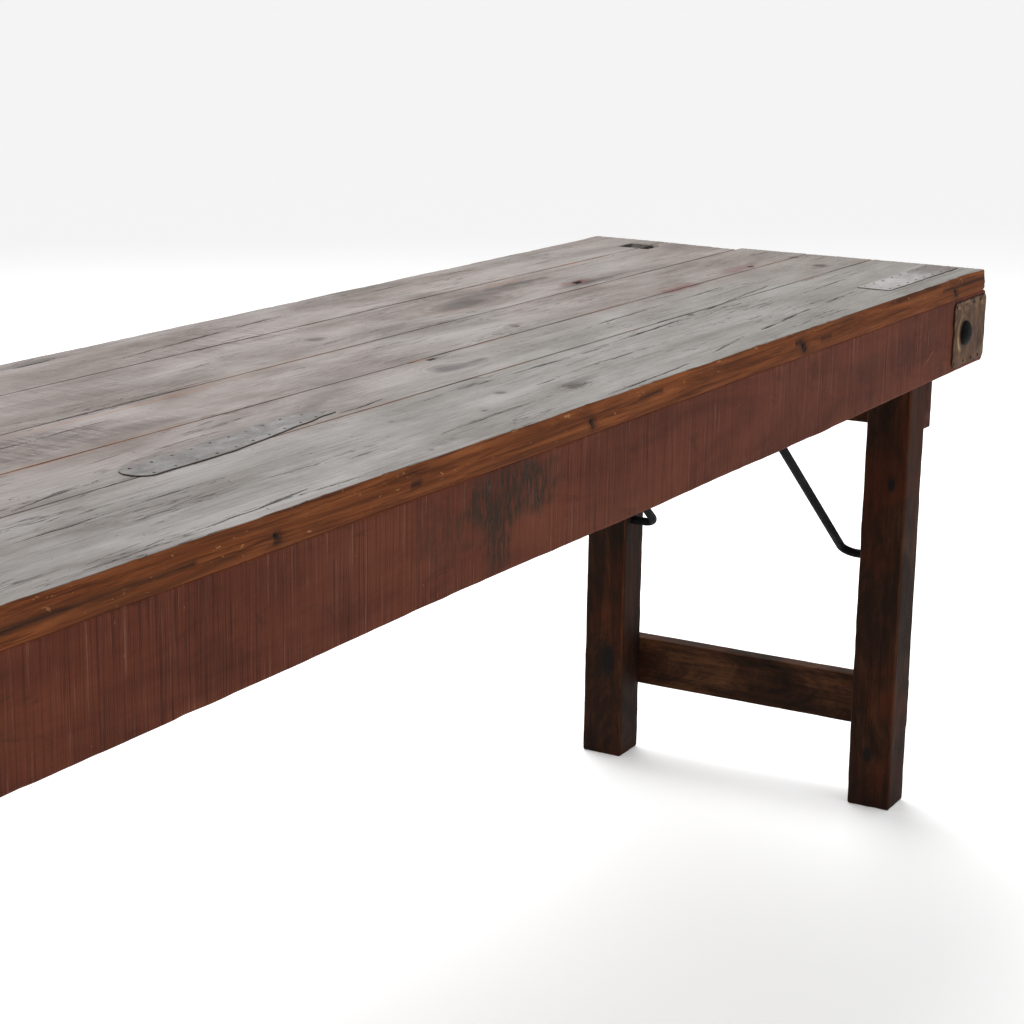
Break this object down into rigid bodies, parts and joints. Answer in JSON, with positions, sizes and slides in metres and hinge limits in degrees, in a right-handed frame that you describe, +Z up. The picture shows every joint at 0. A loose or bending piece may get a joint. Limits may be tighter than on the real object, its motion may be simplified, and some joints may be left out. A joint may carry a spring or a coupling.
{
  "type": "folding table",
  "caption": "Long rustic plank table with deep side aprons and a folding leg frame with an iron stay at each end.",
  "frame": {"origin": "on the floor under the table's centre", "axes": "+X along the length towards the pictured end, +Y across the table away from the pictured side, +Z up"},
  "size_m": [2.3, 0.621, 0.7615],
  "materials": {
    "wood_top": "satin",
    "wood_apron": "satin",
    "wood_frame": "satin",
    "iron": "rough",
    "tin": "satin",
    "plate": "satin"
  },
  "bodies": {
    "table_top": {"apron_far": "wood_apron", "apron_near": "wood_apron", "batten_1": "wood_apron", "batten_2": "wood_apron", "batten_3": "wood_apron", "batten_4": "wood_apron", "catch_block_left": "wood_apron", "catch_block_right": "wood_apron", "catch_screws": "iron", "catch_tongues_left": "iron", "catch_tongues_right": "iron", "corner_plate_left_far": "plate", "corner_plate_left_near": "plate", "corner_plate_right_far": "plate", "corner_plate_right_near": "plate", "edge_nails": "iron", "end_rail_left": "wood_apron", "end_rail_right": "wood_apron", "patch_nails": "iron", "pivot_bolt_left_far": "iron", "pivot_bolt_left_near": "iron", "pivot_bolt_right_far": "iron", "pivot_bolt_right_near": "iron", "pivot_nuts": "iron", "pivot_spacers": "iron", "pivot_washers": "iron", "plate_nails": "iron", "tin_patch_corner": "tin", "tin_patch_middle": "tin", "top_nails": "iron", "top_plank_1": "wood_top", "top_plank_2": "wood_top", "top_plank_3": "wood_top", "top_plank_4": "wood_top", "top_plank_5": "wood_top"},
    "leg_frame_right": {"leg_right_far": "wood_frame", "leg_right_near": "wood_frame", "rail_nails_right": "iron", "stretcher_right": "wood_frame", "upper_rail_right": "wood_frame"},
    "leg_frame_left": {"leg_left_far": "wood_frame", "leg_left_near": "wood_frame", "rail_nails_left": "iron", "stretcher_left": "wood_frame", "upper_rail_left": "wood_frame"},
    "stay_right": {"stay_rod_right": "iron"},
    "stay_left": {"stay_rod_left": "iron"}
  },
  "joints": [
    {"name": "leg_fold_right", "type": "hinge", "parent": "table_top", "child": "leg_frame_right", "pos_m": [1.066, 0, 0.6835], "axis": [0, 1, 0], "range_deg": [0, 90]},
    {"name": "stay_swing_right", "type": "hinge", "parent": "leg_frame_right", "child": "stay_right", "pos_m": [1.0585, 0, 0.361], "axis": [0, -1, 0], "range_deg": [0, 127]},
    {"name": "leg_fold_left", "type": "hinge", "parent": "table_top", "child": "leg_frame_left", "pos_m": [-1.066, 0, 0.6835], "axis": [0, -1, 0], "range_deg": [0, 90]},
    {"name": "stay_swing_left", "type": "hinge", "parent": "leg_frame_left", "child": "stay_left", "pos_m": [-1.0585, 0, 0.361], "axis": [0, 1, 0], "range_deg": [0, 127]}
  ],
  "couplings": [
    {"joint": "stay_swing_right", "follows": "leg_fold_right", "ratio": 1.41},
    {"joint": "stay_swing_left", "follows": "leg_fold_left", "ratio": 1.41}
  ]
}
